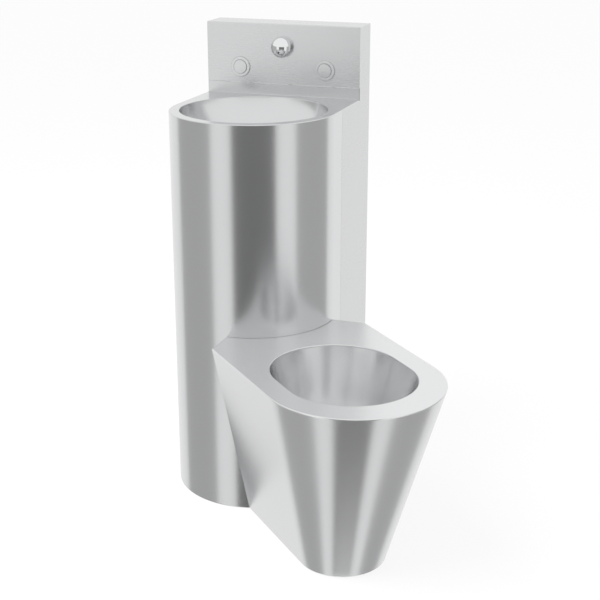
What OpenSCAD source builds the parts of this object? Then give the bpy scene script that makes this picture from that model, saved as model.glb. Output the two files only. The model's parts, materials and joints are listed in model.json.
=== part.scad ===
// Stainless steel combination unit: a round wash basin column with a toilet pan set at an angle.
// Millimetres. Z is up, the wall is the plane Y = 0, the floor is Z = 0, and X = 0 is the column's centre.

/* [Housing] */
// Width of the housing and of the column
unit_w = 360; // [340:1:400]
// Height of the splashback's top
unit_h = 1010; // [990:1:1100]
// Height of the splashback's top above the basin's rim
splash_h = 158; // [150:1:170]
// Depth of the splashback box
splash_depth = 78; // [74:1:100]
// Depth of the housing's side panels below the basin
side_depth = 205; // [180:1:220]
// Width of the flange that lies against the wall
wall_flange_w = 25; // [22:1:30]
// Thickness of the steel sheet
sheet_t = 2; // [1.5:0.1:2.5]
// Hairline joint between two sheets
seam_gap = 0.4; // [0.3:0.1:0.8]

/* [Column] */
// Distance from the wall to the column's axis
column_reach = 258; // [250:1:290]
// Width of the flange turned in at the floor
foot_flange_w = 16; // [10:1:22]
// Width of the window behind the pan
window_w = 124; // [116:1:130]
// Lower edge of the window behind the pan
window_low = 135; // [110:1:140]
// Upper edge of the window behind the pan
window_high = 335; // [330:1:350]

/* [Basin] */
// Width of the basin's rim round the bowl
rim_w = 22.5; // [20:0.5:35]
// Depth of the bowl below the rim
bowl_depth = 132; // [115:1:140]
// Height of the deck's upstand
upstand_h = 25; // [20:1:35]

/* [Toilet pan] */
// Height of the pan's rim
pan_h = 400; // [395:1:430]
// Turn of the pan from straight ahead
pan_angle = 45; // [40:1:50]
// Width of the rim
pan_w = 360; // [340:1:380]
// Width of the pan at the floor
pan_foot_w = 180; // [170:1:200]
// Reach of the rim from the column's axis
pan_reach = 643; // [620:1:670]
// Reach of the pan's foot from the column's axis
pan_foot_reach = 509; // [500:1:530]
// Width of the bowl's opening in the rim
seat_w = 262; // [240:1:270]
// Length of the bowl's opening in the rim
seat_l = 324; // [300:1:330]
// Width of the rim in front of the opening
rim_front = 63; // [55:1:75]

/* [Soil pipe] */
// Outside diameter of the soil pipe
soil_d = 102; // [100:1:104]
// Height of the soil pipe's centre
soil_h = 215; // [212:1:218]
// Bend radius of the soil pipe
soil_bend = 75; // [75:1:76]
// Distance from the wall to the pipe ends
outlet_gap = 15; // [10:1:20]

/* [Basin waste] */
// Outside diameter of the basin trap
waste_d = 40; // [38:1:42]
// Depth of the basin outlet's centre below the basin's rim
waste_drop = 212; // [202:1:222]
// Depth of the trap below the outlet
trap_drop = 110; // [100:1:115]

/* [Water] */
// Outside diameter of the flush pipe
flush_d = 28; // [25:1:28]
// Depth of the inlet manifold below the basin's rim
manifold_drop = 332; // [327:1:337]
// Outside diameter of the spout's supply tube
supply_d = 10; // [8:1:12]
// Outside diameter of the air tubes
air_d = 6; // [4:1:6]

/* [Controls] */
// Distance of each button from the centre line
button_x = 100; // [95:1:108]
// Height of the buttons above the basin rim
button_rise = 60; // [55:1:70]
// Diameter of the button's fixed collar
collar_d = 46; // [44:1:50]
// Diameter of the button's cap
cap_d = 31; // [28:1:31]
// Travel of the buttons
button_travel = 4; // [3:0.5:5]
// Height of the spout above the basin rim
spout_rise = 108; // [95:1:115]
// Diameter of the spout's dome
dome_d = 47; // [42:1:50]

/* [Hidden] */

// Overrun of a cut past the face that it leaves
cut = 1;
// Clearance between nested pieces of one body
nest_gap = 0.2;
// Running clearance round a stem
stem_gap = 0.08;
// Clearance between pieces that move past each other
move_gap = 0.3;
// Smoothness of round shapes
fine = 96;
medium = 48;
coarse = 32;

column_r = unit_w / 2;
bowl_d = unit_w - 2 * rim_w;
basin_h = unit_h - splash_h;
waste_h = basin_h - waste_drop;
manifold_h = basin_h - manifold_drop;
valve_x = button_x;
deck_under = basin_h - sheet_t;
splash_low = basin_h + upstand_h + seam_gap;
pan_under = pan_h - sheet_t;

// Colours
steel = "gainsboro";
bright = "whitesmoke";
rubber = "dimgray";
brass = "goldenrod";
plastic = "lightslategray";

// Wall fixings
stud_hole_r = 5.5;
stud_inset_x = 13;
stud_inset_z = 60;
nut_across = 17;
nut_h = 8;
nut_bore_r = stud_hole_r;
stud_x = column_r - stud_inset_x;
stud_low = stud_inset_z;
stud_high = unit_h - stud_inset_z;
stud_mid = (stud_low + stud_high) / 2;

// Waste fitting
waste_thread_r = 20.95;
waste_bore_r = 17.5;
waste_flange_r = 33;
waste_flange_t = 2.5;
strainer_r = 27;
strainer_t = 1.5;
strainer_hole_r = 2.6;
strainer_ring_r = 12;
strainer_outer_r = 21;
strainer_inner_count = 6;
strainer_outer_count = 14;
seat_drop = 3;
seat_rise_r = 36;
gasket_t = 3;
gasket_r = 33;
waste_nut_r = 29;
waste_nut_h = 8;
waste_tail = 64;
bridge_w = 6;
bridge_t = 3;
waste_screw_r = 3;
waste_screw_head_r = 5.5;
waste_screw_head_t = 2.5;
waste_screw_l = 6;

// Basin bowl, a dished pressing
bowl_r = bowl_d / 2;
dish_depth = bowl_depth - sheet_t;
dish_r = (bowl_r * bowl_r + dish_depth * dish_depth) / (2 * dish_depth);
dish_bottom = basin_h - bowl_depth;
dish_centre = dish_bottom + dish_r;
bowl_flange_w = 12;
waste_seat = dish_bottom - seat_drop;
waste_seat_under = waste_seat - sheet_t;
waste_end = waste_seat - waste_tail;

// Basin trap
waste_r = waste_d / 2;
waste_wall = 1.5;
waste_bend = 40;
trap_stop_step = 39;
union_r = 26;
union_h = 24;

// Toilet bowl
seat_r = seat_w / 2;
seat_front = pan_reach - rim_front - seat_r;
seat_rear = pan_reach - rim_front - seat_l + seat_r;
soil_wall = 2;
soil_r = soil_d / 2;
soil_elbow_r = 100;
trap_clear = 10;
sump_step = 2;
sump_reach = seat_rear - sump_step;
sump_h = 175;
waist_h = 262;
waist_r = 100;
waist_front_step = 36;
waist_rear_step = 10;
waist_front = sump_reach + waist_front_step;
waist_rear = sump_reach - waist_rear_step;
bowl_lip_w = 12;

// Flush inlet in the toilet bowl
flush_r = flush_d / 2;
flush_wall = 1.5;
flush_bend = 24;
inlet_h = 266;
flush_h = inlet_h + 2 * flush_bend;
inlet_step = 113;
inlet_reach = sump_reach - inlet_step;
flush_turn_step = 60;
flush_turn = inlet_reach - flush_turn_step;
boss_wall = 2;
boss_l = 14;
seal_l = 12;
seal_t = 3;
union_l = 30;

// Inlet manifold and its rail
pipe_r = 13.5;
pipe_bore_r = 10;
pipe_bend = 20;
pipe_y = -52;
inlet_thread_r = 13.2;
inlet_end = -8;
inlet_hex_across = 32;
inlet_hex_l = 8;
rail_h = 54;
rail_t = 4;
rail_tab = 30;
clip_x = 60;
clip_w = 16;
clip_t = 2;
clip_wing = 14;
clip_screw_r = 2.5;
clip_screw_l = 8;
rail_front = pipe_y + pipe_r + clip_t;
manifold_rise = 9;
manifold_top = manifold_h + pipe_bend + manifold_rise;

// Isolating valves
isolator_l = 56;
isolator_r = 16.5;
isolator_hex_across = 34;
isolator_hex_l = 11;
ball_r = 14;
ball_bore_r = 9;
isolator_body_r = 20;
stem_r = 4;
boss_r = 8;
boss_reach = 30;
lever_l = 52;
lever_w = 13;
lever_hub_r = 9;
lever_t = 2.5;
lever_nut_across = 10;
lever_nut_t = 4;
stem_proud = 1.5;
stem_end = boss_reach + move_gap + lever_t + lever_nut_t + stem_proud;
isolator_mid = manifold_top + isolator_l / 2;
valve_low = manifold_top + isolator_l;

// Air operated valves: chamber radius, chamber height
flush_valve_r = 30;
flush_valve_h = 62;
basin_valve_r = 22;
basin_valve_h = 50;
valve_wall = 4;
neck_h = 8;
neck_r = 14;
cover_t = 12;
cover_lip = 3;
barb_r = 1.8;
barb_l = 10;
seat_tube_wall = 2.5;
seat_tube_share = 0.52;
piston_t = 9;
piston_travel = 5;
valve_spring_wire = 1.2;
spring_seat_depth = 7;
cover_screw_in = 2.2;
valve_screw_t = 4;
outlet_l = 12;
outlet_wall = 2.5;
outlet_rise = 17;
outlet_at = neck_h + outlet_rise;
piston_room = 2;
spring_room_share = 0.4;
cover_screw_r = 3.5;

// Spout
dome_r = dome_d / 2;
dome_rise = 5;
nozzle_angle = 25;
nozzle_r = 3.6;
nozzle_bore_r = 2.2;
nozzle_l = 8;
shank_r = 10.4;
shank_l = 33;
shank_bore_r = 4;
spout_nut_across = 27;
spout_nut_t = 6;
spout_z = basin_h + spout_rise;

// Buttons, measured outwards from the splashback's face
cap_r = cap_d / 2;
collar_r = collar_d / 2;
collar_proud = 3.5;
collar_land_w = 6.5;
collar_top_r = cap_r + collar_land_w;
cap_proud = 5;
cap_l = 15;
cap_wall = 2;
shell_wall = 2.5;
shank_depth = 26;
web_t = 4;
collar_shank_r = cap_r + move_gap + shell_wall;
collar_nut_t = 6;
collar_nut_w = 6;
plunger_stem_r = 4;
plunger_r = 13;
plunger_t = 5;
plunger_gap = 6;
plunger_end_gap = 3;
cylinder_wall = 2.5;
cylinder_depth = plunger_gap + plunger_t + button_travel + plunger_end_gap;
cylinder_grip = 10;
panel_gasket_t = 1;
spring_wire = 1;
spring_turns = 5;
spring_steps = 14;
spring_r = 9.5;
button_z = basin_h + button_rise;
splash_face = -splash_depth;
web_back = -shank_depth;
cylinder_back = web_back - cylinder_depth - cylinder_wall;

// Supply tube and air tubes
supply_wall = 1;
supply_grip = 10;
supply_bend = 18;
riser_y = -24;
supply_rise = 70;
air_bend = 12;
air_run_y = -14;

// Earth stud
earth_r = 3;
earth_l = 16;
earth_z = 150;
earth_y = -60;
earth_nut_across = 10;
earth_nut_t = 5;

// Soil pipe: its coupling, stop ring and bracket
bracket_w = 30;
bracket_t = 3;
soil_stop_y = -63;
stop_w = 6;
stop_rise = 3;
bracket_y = soil_stop_y - stop_w - seam_gap;
clamp_w = 14;
clamp_t = 0.9;
coupling_t = 4;
coupling_l = 70;
coupling_step = 14.18;
clamp_inset = 12;

// Half the turn between two corners of a hexagonal and of an octagonal nut
hex_half = 30;
octagon_half = 22.5;

// The vector of length one that points along v
function unit_vec(v) = v / norm(v);

// Turns that bring the x axis to the unit vector x, and the z axis to z
function turn_of(x, z) = let (y = cross(z, x), straight = abs(x[2]) > 0.9999, b = -asin(x[2]))
    straight ? [atan2(y[0] * sin(b), y[1]), b, 0] : [atan2(y[2], z[2]), b, atan2(x[1], x[0])];
function any_square(x) = unit_vec(cross(x, abs(x[2]) > 0.9 ? [0, 1, 0] : [0, 0, 1]));

// Length that a bend takes from each leg at point i of a run
function bend_cut(p, i, bend) = (i == 0 || i == len(p) - 1) ? 0 :
    let (a = unit_vec(p[i] - p[i - 1]), b = unit_vec(p[i + 1] - p[i]))
    bend * tan(acos(min(1, max(-1, a * b))) / 2);

// A round bar of radius r along the points p, with bends of one radius
module pipe_run(p, r, bend) {
    for (i = [0:len(p) - 2]) {
        dir = unit_vec(p[i + 1] - p[i]);
        skip = bend_cut(p, i, bend);
        long = norm(p[i + 1] - p[i]) - skip - bend_cut(p, i + 1, bend);
        if (long > nest_gap / 10)
            translate(p[i] + dir * skip) rotate(turn_of(any_square(dir), dir))
                cylinder(h = long, r = r, $fn = medium);
    }
    for (i = [1:1:len(p) - 2]) {
        a = unit_vec(p[i] - p[i - 1]);
        b = unit_vec(p[i + 1] - p[i]);
        axis = unit_vec(cross(a, b));
        skip = bend_cut(p, i, bend);
        out = cross(a, axis);
        translate(p[i] - a * skip - out * bend) rotate(turn_of(out, axis))
            rotate_extrude(angle = acos(a * b), $fn = fine) translate([bend, 0]) circle(r, $fn = medium);
    }
}

// A run with its end points moved out by the distance more
function longer(p, more) = [for (i = [0:len(p) - 1])
    i == 0 ? p[0] + unit_vec(p[0] - p[1]) * more :
    i == len(p) - 1 ? p[i] + unit_vec(p[i] - p[i - 1]) * more : p[i]];

module tube_run(p, r, wall, bend) {
    difference() {
        pipe_run(p, r, bend);
        pipe_run(longer(p, cut), r - wall, bend);
    }
}

module ring(h, outer, inner) {
    difference() {
        cylinder(h = h, r = outer, $fn = fine);
        translate([0, 0, -cut]) cylinder(h = h + 2 * cut, r = inner, $fn = fine);
    }
}

module hex_nut(across, h, bore_r) {
    difference() {
        cylinder(h = h, d = across / cos(hex_half), $fn = 6);
        translate([0, 0, -cut]) cylinder(h = h + 2 * cut, r = bore_r, $fn = medium);
    }
}

// Moves and turns children so that z points out of the wall at this place, measured from height z
module facing_out(x, y, z) { translate([x, y, z]) rotate([90, 0, 0]) children(); }
module on_pan() { translate([0, -column_reach, 0]) rotate([0, 0, pan_angle - 90]) children(); }
module on_column() { translate([0, -column_reach, 0]) children(); }

// The column in plan, to the line y = rear
module column_plan(inset, rear) {
    difference() {
        union() {
            translate([0, -column_reach]) circle(column_r - inset, $fn = 2 * fine);
            translate([inset - column_r, -column_reach])
                square([2 * (column_r - inset), column_reach + rear]);
        }
        translate([-unit_w, rear]) square([2 * unit_w, column_reach]);
    }
}

// Housing
module side_panel() {
    rotate([90, 0, 90]) linear_extrude(sheet_t)
        polygon([[0, 0], [-side_depth + seam_gap, 0], [-side_depth + seam_gap, deck_under],
            [-splash_depth + sheet_t, deck_under], [-splash_depth + sheet_t, unit_h - sheet_t],
            [0, unit_h - sheet_t]]);
}

module rear_housing() {
    color(steel) difference() {
        union() {
            for (x = [-column_r, column_r - sheet_t]) translate([x, 0, 0]) side_panel();
            difference() {
                translate([-column_r, -sheet_t, 0]) cube([unit_w, sheet_t, unit_h - sheet_t]);
                translate([-column_r + wall_flange_w, -sheet_t - cut, wall_flange_w])
                    cube([unit_w - 2 * wall_flange_w, sheet_t + 2 * cut,
                        unit_h - sheet_t - 2 * wall_flange_w]);
            }
        }
        for (x = [-stud_x, stud_x], z = [stud_low, stud_mid, stud_high])
            facing_out(x, cut, z) cylinder(h = sheet_t + 2 * cut, r = stud_hole_r, $fn = medium);
    }
}

module wall_nuts() {
    color(steel) for (x = [-stud_x, stud_x], z = [stud_low, stud_mid, stud_high])
        facing_out(x, -sheet_t, z) rotate(30) hex_nut(nut_across, nut_h, nut_bore_r);
}

module earth_stud() {
    x = column_r - sheet_t;
    color(brass) translate([x, earth_y, earth_z]) rotate([0, -90, 0]) {
        cylinder(h = earth_l, r = earth_r, $fn = medium);
        translate([0, 0, earth_nut_t]) cylinder(h = earth_nut_t, d = earth_nut_across / cos(hex_half), $fn = 6);
    }
}

module splashback() {
    color(steel) difference() {
        union() {
            translate([-column_r, splash_face, splash_low])
                cube([unit_w, sheet_t, unit_h - splash_low]);
            translate([-column_r, splash_face, unit_h - sheet_t]) cube([unit_w, splash_depth, sheet_t]);
        }
        for (x = [-button_x, button_x])
            facing_out(x, splash_face + sheet_t + cut, button_z)
                cylinder(h = sheet_t + 2 * cut, r = collar_shank_r + nest_gap, $fn = fine);
        facing_out(0, splash_face + sheet_t + cut, spout_z)
            cylinder(h = sheet_t + 2 * cut, r = shank_r + nest_gap, $fn = medium);
    }
}

// Column
module column_shell() {
    color(steel) difference() {
        linear_extrude(deck_under) difference() {
            column_plan(0, -side_depth);
            column_plan(sheet_t, -side_depth + cut);
        }
        window_cut();
    }
    color(steel) linear_extrude(sheet_t) difference() {
        column_plan(sheet_t / 2, -side_depth);
        column_plan(foot_flange_w, -side_depth + cut);
    }
}

module window_cut() {
    on_pan() translate([column_r / 2, -window_w / 2, window_low])
        cube([column_r, window_w, window_high - window_low]);
}

// Basin
module basin_deck() {
    color(steel) difference() {
        union() {
            translate([0, 0, deck_under]) linear_extrude(sheet_t) column_plan(0, splash_face + sheet_t);
            translate([-column_r, splash_face, deck_under]) cube([unit_w, sheet_t, upstand_h + sheet_t]);
        }
        on_column() translate([0, 0, deck_under - cut])
            cylinder(h = sheet_t + 2 * cut, r = bowl_r, $fn = 2 * fine);
    }
}

module dish_profile(grow) {
    intersection() {
        translate([0, dish_centre]) circle(dish_r + grow, $fn = 2 * fine);
        translate([0, dish_bottom - 2 * sheet_t]) square([bowl_r + 2 * sheet_t, dish_depth + 2 * sheet_t]);
    }
    translate([0, waste_seat - grow]) square([seat_rise_r + grow, seat_drop + 2 * sheet_t + grow]);
}

module basin_bowl() {
    color(steel) on_column() rotate_extrude($fn = 2 * fine) difference() {
        union() {
            dish_profile(sheet_t);
            translate([0, deck_under - sheet_t]) square([bowl_r + bowl_flange_w, sheet_t]);
        }
        dish_profile(0);
        translate([0, deck_under - sheet_t]) square([bowl_r, sheet_t + cut]);
        translate([0, waste_seat_under - cut]) square([waste_thread_r + nest_gap, 2 * sheet_t + 2 * cut]);
    }
}

// Basin waste
module waste_body() {
    color(bright) on_column() difference() {
        union() {
            translate([0, 0, waste_seat]) cylinder(h = waste_flange_t, r = waste_flange_r, $fn = fine);
            translate([0, 0, waste_end]) cylinder(h = waste_tail, r = waste_thread_r, $fn = fine);
        }
        translate([0, 0, waste_seat + waste_flange_t - strainer_t])
            cylinder(h = strainer_t + cut, r = strainer_r + nest_gap, $fn = fine);
        difference() {
            translate([0, 0, waste_end - cut])
                cylinder(h = waste_tail + waste_flange_t + 2 * cut, r = waste_bore_r, $fn = fine);
            translate([-waste_thread_r, -bridge_w / 2, waste_seat + waste_flange_t - strainer_t - bridge_t])
                cube([2 * waste_thread_r, bridge_w, bridge_t]);
        }
        translate([0, 0, waste_seat - bridge_t - cut])
            cylinder(h = bridge_t + waste_flange_t + 2 * cut, r = waste_screw_r + nest_gap, $fn = medium);
    }
}

module waste_strainer() {
    color(bright) on_column() translate([0, 0, waste_seat + waste_flange_t - strainer_t]) difference() {
        cylinder(h = strainer_t, r = strainer_r, $fn = fine);
        for (i = [0:strainer_inner_count - 1]) rotate(i * 360 / strainer_inner_count)
            translate([strainer_ring_r, 0, -cut])
                cylinder(h = strainer_t + 2 * cut, r = strainer_hole_r, $fn = coarse);
        for (i = [0:strainer_outer_count - 1]) rotate(i * 360 / strainer_outer_count)
            translate([strainer_outer_r, 0, -cut])
                cylinder(h = strainer_t + 2 * cut, r = strainer_hole_r, $fn = coarse);
        translate([0, 0, -cut])
            cylinder(h = strainer_t + 2 * cut, r = waste_screw_r + nest_gap, $fn = coarse);
    }
}

module waste_screw() {
    top = waste_seat + waste_flange_t;
    color(bright) on_column() {
        translate([0, 0, top]) cylinder(h = waste_screw_head_t, r = waste_screw_head_r, $fn = medium);
        translate([0, 0, top - waste_screw_l]) cylinder(h = waste_screw_l, r = waste_screw_r, $fn = medium);
    }
}

module waste_nut() {
    color(plastic) on_column() translate([0, 0, waste_seat_under - gasket_t - waste_nut_h]) difference() {
        cylinder(h = waste_nut_h, d = 2 * waste_nut_r / cos(octagon_half), $fn = 8);
        translate([0, 0, -cut])
            cylinder(h = waste_nut_h + 2 * cut, r = waste_thread_r + nest_gap, $fn = fine);
    }
}

trap_low = waste_h - trap_drop;
trap_back = -column_reach + 2 * waste_bend;
trap_stop_y = trap_back + waste_bend + union_h + trap_stop_step;
trap_route = [[0, -column_reach, waste_end], [0, -column_reach, trap_low], [0, trap_back, trap_low],
    [0, trap_back, waste_h], [0, -outlet_gap, waste_h]];

module basin_trap() {
    color(plastic) difference() {
        union() {
            pipe_run(trap_route, waste_r, waste_bend);
            facing_out(0, trap_stop_y, waste_h)
                cylinder(h = stop_w / 2, r = waste_r + stop_rise, $fn = medium);
        }
        pipe_run(longer(trap_route, cut), waste_r - waste_wall, waste_bend);
    }
}

module trap_nuts() {
    color(plastic) {
        on_column() translate([0, 0, waste_end - union_h / 2])
            ring(union_h, union_r, waste_thread_r + nest_gap);
        facing_out(0, trap_back + waste_bend + union_h, waste_h)
            ring(union_h, union_r, waste_r + nest_gap);
    }
}

// Toilet pan
function foot_corner() = sqrt(column_r * column_r - pan_foot_w * pan_foot_w / 4);

// The pan's outline at one height: half width, reach of the rear corners, reach of the front
module pan_plan(half_w, corner, front) {
    translate([front - half_w, 0]) circle(half_w, $fn = 2 * fine);
    polygon([[corner - half_w, 0], [corner, -half_w], [front - half_w, -half_w],
        [front - half_w, half_w], [corner, half_w]]);
}

// Tapered body of the pan up to the rim plate, set in by one wall
module pan_body(inset) {
    thin = seam_gap / 10;
    rear = norm([inset, inset]);
    drop = inset > 0 ? cut : 0;
    slope_w = (pan_w - pan_foot_w) / 2 / pan_h;
    slope_f = (pan_reach - pan_foot_reach) / pan_h;
    slope_c = (pan_w / 2 - foot_corner()) / pan_h;
    hull() for (z = [-drop, pan_under + drop - thin]) translate([0, 0, z]) linear_extrude(thin)
        pan_plan(pan_foot_w / 2 + z * slope_w - inset, foot_corner() + z * slope_c + rear - inset,
            pan_foot_reach + z * slope_f - inset);
}

module pan_skirt() {
    color(steel) difference() {
        on_pan() difference() {
            pan_body(0);
            difference() {
                pan_body(sheet_t);
                translate([0, -pan_w, -cut]) cube([pan_reach, 2 * pan_w, sheet_t + cut]);
            }
            translate([0, 0, -cut]) linear_extrude(sheet_t + 2 * cut)
                pan_plan(pan_foot_w / 2 - foot_flange_w, foot_corner() + foot_flange_w / 2,
                    pan_foot_reach - foot_flange_w);
        }
        on_column() translate([0, 0, -cut]) cylinder(h = pan_h + 2 * cut, r = column_r, $fn = 2 * fine);
    }
}

module pan_deck() {
    color(steel) difference() {
        on_pan() translate([0, 0, pan_under]) linear_extrude(sheet_t) difference() {
            pan_plan(pan_w / 2, pan_w / 2, pan_reach);
            seat_plan(seat_r, seat_front, seat_rear);
        }
        on_column() translate([0, 0, pan_under - cut])
            cylinder(h = sheet_t + 2 * cut, r = column_r, $fn = 2 * fine);
    }
}

module seat_plan(r, front, rear) {
    for (u = [front, rear]) translate([u, 0]) circle(r, $fn = fine);
    translate([rear, -r]) square([front - rear, 2 * r]);
}

// The toilet bowl's form, grown by one wall for its outside
module bowl_body(grow) {
    thin = seam_gap / 10;
    over = grow > 0 ? 0 : cut;
    hull() {
        translate([0, 0, pan_under - thin + over]) linear_extrude(thin)
            seat_plan(seat_r + grow, seat_front, seat_rear);
        translate([0, 0, waist_h]) linear_extrude(thin)
            seat_plan(waist_r + grow, waist_front, waist_rear);
    }
    hull() {
        translate([0, 0, waist_h]) linear_extrude(thin)
            seat_plan(waist_r + grow, waist_front, waist_rear);
        translate([sump_reach, 0, sump_h - over])
            cylinder(h = thin, r = soil_r - soil_wall + grow, $fn = fine);
    }
}

// Along the flush inlet, from the mouth of its boss
module at_inlet() { translate([inlet_reach - boss_l, 0, inlet_h]) rotate([0, 90, 0]) children(); }

module pan_bowl() {
    color(steel) on_pan() difference() {
        union() {
            bowl_body(sheet_t);
            translate([0, 0, pan_under - sheet_t]) linear_extrude(sheet_t)
                seat_plan(seat_r + bowl_lip_w, seat_front, seat_rear);
            at_inlet() cylinder(h = 2 * boss_l, r = flush_r + seal_t + boss_wall, $fn = medium);
        }
        bowl_body(0);
        at_inlet() translate([0, 0, -cut])
            cylinder(h = 2 * boss_l + 2 * cut, r = flush_r + seal_t, $fn = medium);
    }
}

trap_floor = soil_r + trap_clear;
trap_top = trap_floor + soil_bend;
elbow_skip = soil_elbow_r * tan(pan_angle / 2);
pan_trap_route = [[sump_reach, 0, trap_top], [sump_reach, 0, trap_floor],
    [sump_reach - 2 * soil_bend, 0, trap_floor], [sump_reach - 2 * soil_bend, 0, soil_h],
    [elbow_skip, 0, soil_h]];

module pan_outlet() {
    color(steel) on_pan() translate([sump_reach, 0, trap_top])
        ring(sump_h - trap_top, soil_r, soil_r - soil_wall);
}

module pan_trap() {
    color(steel) on_pan() tube_run(pan_trap_route, soil_r, soil_wall, soil_bend);
}

// Half width of the pan's body at a height
function pan_half(z) = (pan_foot_w + z * (pan_w - pan_foot_w) / pan_h) / 2;

// Ties the pan's bowl and rim to its skirt
module pan_stiffeners() {
    side_gap = sheet_t + nest_gap;
    color(steel) on_pan() for (s = [-1, 1]) translate([seat_front - bracket_w / 2, 0, 0])
        rotate([90, 0, 90]) linear_extrude(bracket_t) polygon([
            [s * (seat_r + sheet_t + nest_gap), pan_under - sheet_t],
            [s * (seat_r + bowl_lip_w + nest_gap), pan_under - sheet_t],
            [s * (seat_r + bowl_lip_w + nest_gap), pan_under],
            [s * (pan_half(pan_under) - side_gap), pan_under],
            [s * (pan_half(pan_under - bracket_w) - side_gap), pan_under - bracket_w],
            [s * (seat_r + sheet_t + nest_gap), pan_under - bracket_w]]);
}

// Soil pipe inside the column, from the elbow's end straight to the wall
elbow_end = -column_reach + elbow_skip;
coupling_y = bracket_y - bracket_w - coupling_step - coupling_l / 2;
elbow_straight = coupling_y - elbow_end;

module soil_elbow() {
    color(steel) translate([0, elbow_end, soil_h]) difference() {
        union() {
            translate([soil_elbow_r, 0, 0]) rotate([0, 0, 180])
                rotate_extrude(angle = pan_angle, $fn = fine)
                    translate([soil_elbow_r, 0]) circle(soil_r, $fn = medium);
            rotate([-90, 0, 0]) cylinder(h = elbow_straight, r = soil_r, $fn = medium);
        }
        translate([soil_elbow_r, 0, 0]) rotate([0, 0, 180]) rotate_extrude(angle = pan_angle, $fn = fine)
            translate([soil_elbow_r, 0]) circle(soil_r - soil_wall, $fn = medium);
        rotate([-90, 0, 0]) cylinder(h = elbow_straight + cut, r = soil_r - soil_wall, $fn = medium);
    }
}

module soil_pipe() {
    start = coupling_y + seam_gap;
    color(steel) translate([0, -outlet_gap, soil_h]) rotate([90, 0, 0]) difference() {
        union() {
            cylinder(h = -outlet_gap - start, r = soil_r, $fn = medium);
            translate([0, 0, -outlet_gap - soil_stop_y])
                cylinder(h = stop_w, r = soil_r + stop_rise, $fn = medium);
        }
        translate([0, 0, -cut]) cylinder(h = -start + cut, r = soil_r - soil_wall, $fn = medium);
    }
}

module on_coupling(along) {
    translate([0, coupling_y + along, soil_h]) rotate([-90, 0, 0]) children();
}

module soil_coupling() {
    color(rubber) on_coupling(-coupling_l / 2)
        ring(coupling_l, soil_r + nest_gap + coupling_t, soil_r + nest_gap);
}

// Bands round the coupling, each with its screw housing on top
module coupling_clamps() {
    inner = soil_r + 2 * nest_gap + coupling_t;
    color(bright) for (side = [-coupling_l / 2 + clamp_inset, coupling_l / 2 - clamp_inset - clamp_w])
        on_coupling(side) {
            ring(clamp_w, inner + clamp_t, inner);
            translate([-clamp_w / 2, -inner - clamp_w / 2 - clamp_t / 2, 0])
                cube([clamp_w, clamp_w / 2, clamp_w]);
        }
}

module soil_bracket() {
    inner = soil_r + nest_gap;
    half = column_r - sheet_t;
    color(steel) translate([0, bracket_y, 0]) {
        rotate([90, 0, 0]) translate([0, soil_h, 0]) ring(bracket_w, inner + bracket_t, inner);
        for (s = [-1, 1]) {
            x = s > 0 ? inner + bracket_t / 2 : -half;
            translate([x, -bracket_w, soil_h - bracket_t / 2])
                cube([half - inner - bracket_t / 2, bracket_w, bracket_t]);
        }
    }
}

// Water inlet
manifold_route = [[-valve_x, pipe_y, manifold_top], [-valve_x, pipe_y, manifold_h],
    [valve_x, pipe_y, manifold_h], [valve_x, pipe_y, manifold_top]];

module inlet_manifold() {
    shoulder = rail_front + rail_t + seam_gap;
    color(brass) difference() {
        union() {
            pipe_run(manifold_route, pipe_r, pipe_bend);
            translate([0, inlet_end, manifold_h]) rotate([90, 0, 0]) {
                cylinder(h = inlet_end - pipe_y, r = inlet_thread_r, $fn = medium);
                translate([0, 0, -shoulder + inlet_end - inlet_hex_l])
                    cylinder(h = inlet_hex_l, d = inlet_hex_across / cos(hex_half), $fn = 6);
            }
        }
        pipe_run(longer(manifold_route, cut), pipe_bore_r, pipe_bend);
        translate([0, inlet_end + cut, manifold_h]) rotate([90, 0, 0])
            cylinder(h = inlet_end - pipe_y + cut, r = pipe_bore_r, $fn = medium);
    }
}

module valve_rail() {
    half = column_r - sheet_t;
    color(steel) difference() {
        union() {
            translate([-half, rail_front, manifold_h - rail_h / 2]) cube([2 * half, rail_t, rail_h]);
            for (x = [-half, half - rail_t]) translate([x, rail_front - rail_tab, manifold_h - rail_h / 2])
                cube([rail_t, rail_tab + rail_t, rail_h]);
        }
        translate([0, rail_front + rail_t + cut, manifold_h]) rotate([90, 0, 0])
            cylinder(h = rail_t + 2 * cut, r = inlet_thread_r + nest_gap, $fn = medium);
        for (x = [-clip_x, clip_x], s = [-1, 1]) clip_screw(x, s, clip_screw_r, 0);
    }
}

// Saddles that hold the manifold to the rail, each with its two screws
module pipe_clips() {
    inner = pipe_r + nest_gap;
    outer = inner + clip_t;
    color(bright) for (x = [-clip_x, clip_x]) {
        difference() {
            translate([x - clip_w / 2, pipe_y, manifold_h]) rotate([0, 90, 0]) ring(clip_w, outer, inner);
            translate([x - clip_w, pipe_y, manifold_h - 2 * outer])
                cube([2 * clip_w, 2 * outer, 4 * outer]);
        }
        for (s = [-1, 1]) {
            translate([x - clip_w / 2, pipe_y, manifold_h + (s > 0 ? inner : -outer)])
                cube([clip_w, rail_front - pipe_y, clip_t]);
            difference() {
                translate([x - clip_w / 2, rail_front - clip_t,
                        manifold_h + (s > 0 ? inner : -inner - clip_wing)])
                    cube([clip_w, clip_t, clip_wing]);
                clip_screw(x, s, clip_screw_r, 0);
            }
            clip_screw(x, s, clip_screw_r - nest_gap, clip_screw_r);
        }
    }
}

// Screw beside a saddle, with a head of this height
module clip_screw(x, s, r, head) {
    off = pipe_r + clip_wing / 2 + clip_t / 2;
    translate([x, rail_front - clip_t + clip_screw_l, manifold_h + s * off])
        rotate([90, 0, 0]) {
            cylinder(h = clip_screw_l + (head > 0 ? 0 : cut), r = r, $fn = medium);
            if (head > 0) translate([0, 0, clip_screw_l]) cylinder(h = head, r = 2 * r, $fn = medium);
        }
}

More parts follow.
